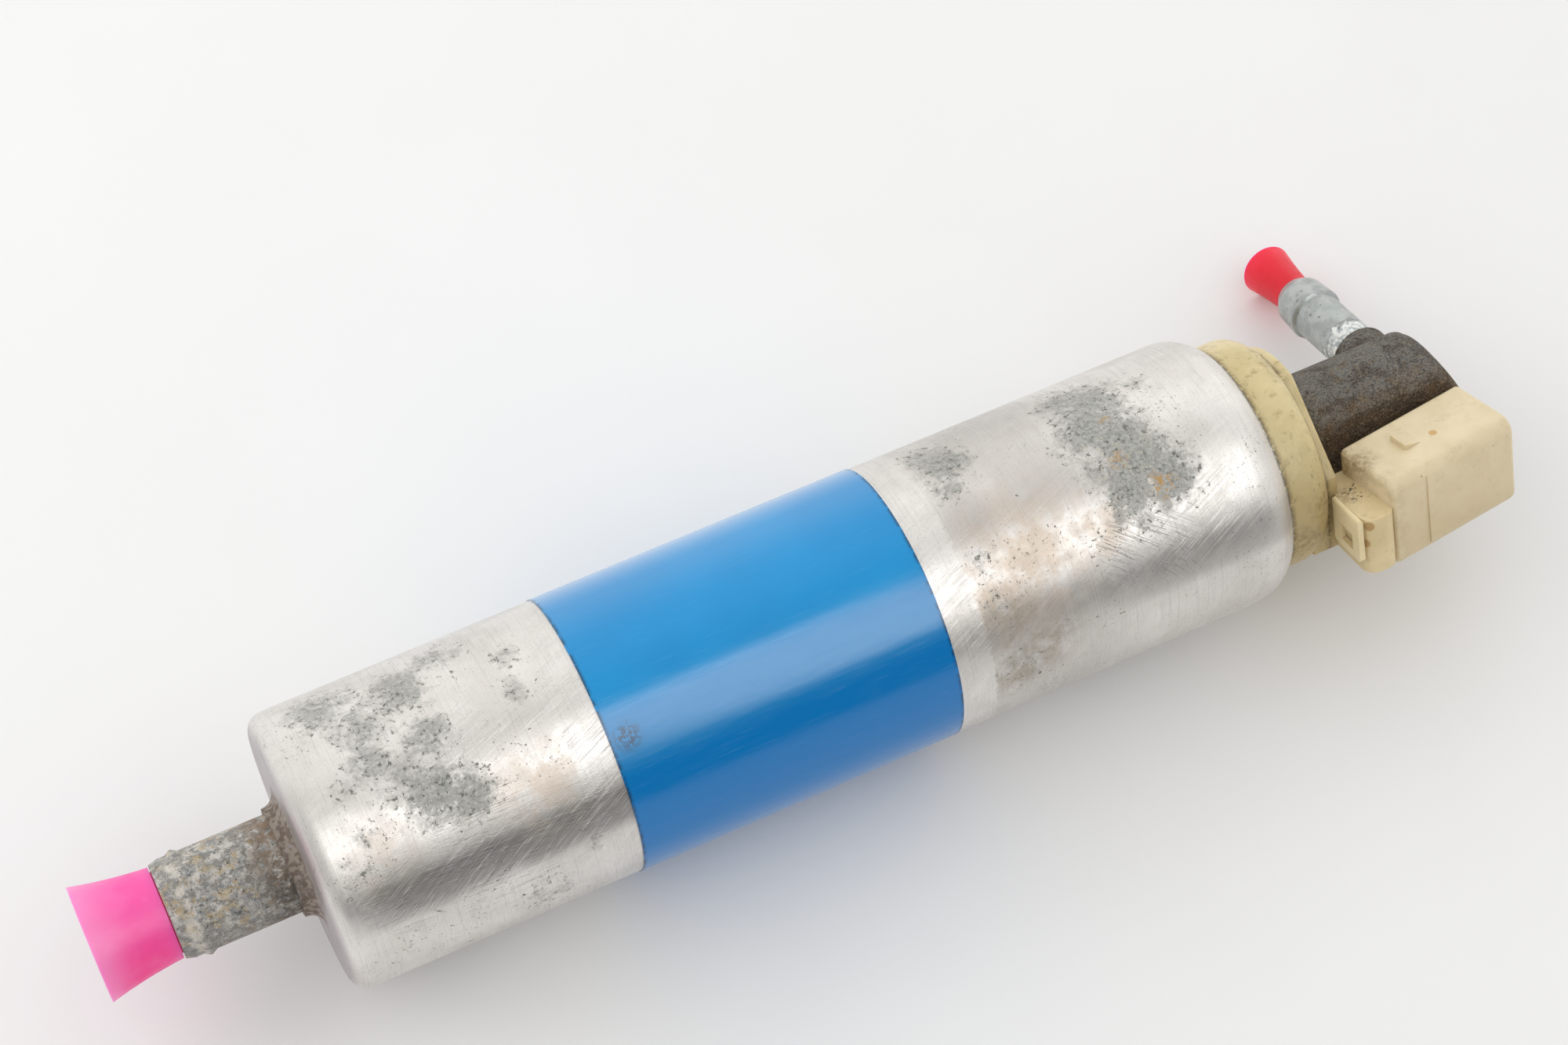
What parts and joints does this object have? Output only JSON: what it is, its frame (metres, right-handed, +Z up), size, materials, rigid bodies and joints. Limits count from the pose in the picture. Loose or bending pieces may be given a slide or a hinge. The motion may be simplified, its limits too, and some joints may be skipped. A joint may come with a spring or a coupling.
{
  "type": "in-line electric fuel pump",
  "caption": "In-line electric fuel pump for a car: twin-screw pump and motor in a round can with a blue sleeve, hose nipple, elbow outlet and plug connector.",
  "frame": {"origin": "on the pump axis, at the middle of the blue sleeve where the holding clamp sits", "axes": "+X along the pump from the inlet nipple to the outlet elbow; +Z up as the pump lies on its sleeve and on the rim of the outlet plug"},
  "size_m": [0.2259, 0.0656, 0.0432],
  "materials": {
    "can_aluminium": "satin, scratched and pitted",
    "sleeve_film": "satin blue film",
    "nipple_metal": "corroded",
    "pink_plastic": "translucent soft plastic",
    "red_plastic": "translucent soft plastic",
    "cap_plastic": "yellowed moulding",
    "connector_plastic": "moulded, satin",
    "elbow_casting": "rough and corroded",
    "pipe_zinc": "dull zinc plate",
    "seal_rubber": "matt",
    "strainer_plastic": "moulded",
    "pump_aluminium": "machined",
    "pump_iron": "machined casting",
    "hard_steel": "ground",
    "spring_steel": "drawn wire",
    "bearing_bronze": "sintered",
    "coupling_plastic": "moulded",
    "core_steel": "stacked sheet",
    "copper_wire": "enamelled winding",
    "ferrite": "matt",
    "brush_carbon": "pressed carbon",
    "valve_plastic": "moulded",
    "washer_metal": "crushed and dull"
  },
  "bodies": {
    "pump": {"tube_housing": "can_aluminium", "blue_sleeve": "sleeve_film", "inlet_nipple": "nipple_metal", "nipple_seal": "seal_rubber", "inlet_strainer": "strainer_plastic", "pump_inlet_plate": "pump_aluminium", "screw_pump_body": "pump_iron", "relief_spring": "spring_steel", "relief_plug_screw": "bearing_bronze", "pump_side_bush": "bearing_bronze", "flux_ring": "core_steel", "magnet_upper": "ferrite", "magnet_lower": "ferrite", "magnet_clips": "spring_steel", "brush_holder": "coupling_plastic", "brush_spring_rear": "spring_steel", "brush_spring_front": "spring_steel", "cap_side_bush": "bearing_bronze", "end_cap": "cap_plastic", "cap_seal": "seal_rubber", "check_valve_seat": "bearing_bronze", "check_valve_spring": "spring_steel", "contact_pins": "bearing_bronze", "terminal_block": "connector_plastic", "connector_housing": "connector_plastic", "terminal_blades": "bearing_bronze", "sealing_washer": "washer_metal", "outlet_elbow": "elbow_casting", "outlet_pipe": "pipe_zinc"},
    "rotor": {"drive_screw": "hard_steel", "shaft_coupling": "coupling_plastic", "motor_shaft": "hard_steel", "armature_core": "core_steel", "armature_windings": "copper_wire", "commutator": "copper_wire"},
    "idler": {"idler_screw": "hard_steel"},
    "relief_valve": {"relief_piston": "hard_steel"},
    "check_valve": {"check_valve_poppet": "valve_plastic"},
    "rear_brush": {"brush_rear": "brush_carbon"},
    "front_brush": {"brush_front": "brush_carbon"},
    "inlet_plug": {"inlet_plug": "pink_plastic"},
    "outlet_plug": {"outlet_plug": "red_plastic"},
    "latch": {"latch_clip": "connector_plastic"}
  },
  "joints": [
    {"name": "rotor_spin", "type": "hinge", "parent": "pump", "child": "rotor", "pos_m": [0, 0, 0], "axis": [1, 0, 0], "continuous": true},
    {"name": "idler_spin", "type": "hinge", "parent": "pump", "child": "idler", "pos_m": [0, 0.00714, -0.00714], "axis": [1, 0, 0], "continuous": true},
    {"name": "relief_slide", "type": "slide", "parent": "pump", "child": "relief_valve", "axis": [-1, 0, 0], "range_m": [0, 0.004], "stiffness_N_per_m": 400, "springref_m": -0.004, "deforming": ["relief_spring"]},
    {"name": "check_slide", "type": "slide", "parent": "pump", "child": "check_valve", "axis": [1, 0, 0], "range_m": [0, 0.003], "stiffness_N_per_m": 300, "springref_m": -0.002, "deforming": ["check_valve_spring"]},
    {"name": "rear_brush_slide", "type": "slide", "parent": "pump", "child": "rear_brush", "axis": [0, 1, 0], "range_m": [0, 0.0012], "stiffness_N_per_m": 400, "springref_m": -0.003, "deforming": ["brush_spring_rear"]},
    {"name": "front_brush_slide", "type": "slide", "parent": "pump", "child": "front_brush", "axis": [0, -1, 0], "range_m": [0, 0.0012], "stiffness_N_per_m": 400, "springref_m": -0.003, "deforming": ["brush_spring_front"]},
    {"name": "inlet_plug_pull", "type": "slide", "parent": "pump", "child": "inlet_plug", "axis": [-1, 0, 0], "range_m": [0, 0.03]},
    {"name": "outlet_plug_pull", "type": "slide", "parent": "pump", "child": "outlet_plug", "axis": [0, 0.9016, -0.4325], "range_m": [0, 0.025]},
    {"name": "latch_flex", "type": "hinge", "parent": "pump", "child": "latch", "pos_m": [0.0921, -0.01833, 0.00779], "axis": [0, 0.9016, -0.4325], "range_deg": [0, 6], "stiffness_Nm_per_rad": 0.3}
  ],
  "couplings": [
    {"joint": "idler_spin", "follows": "rotor_spin", "ratio": -1}
  ]
}
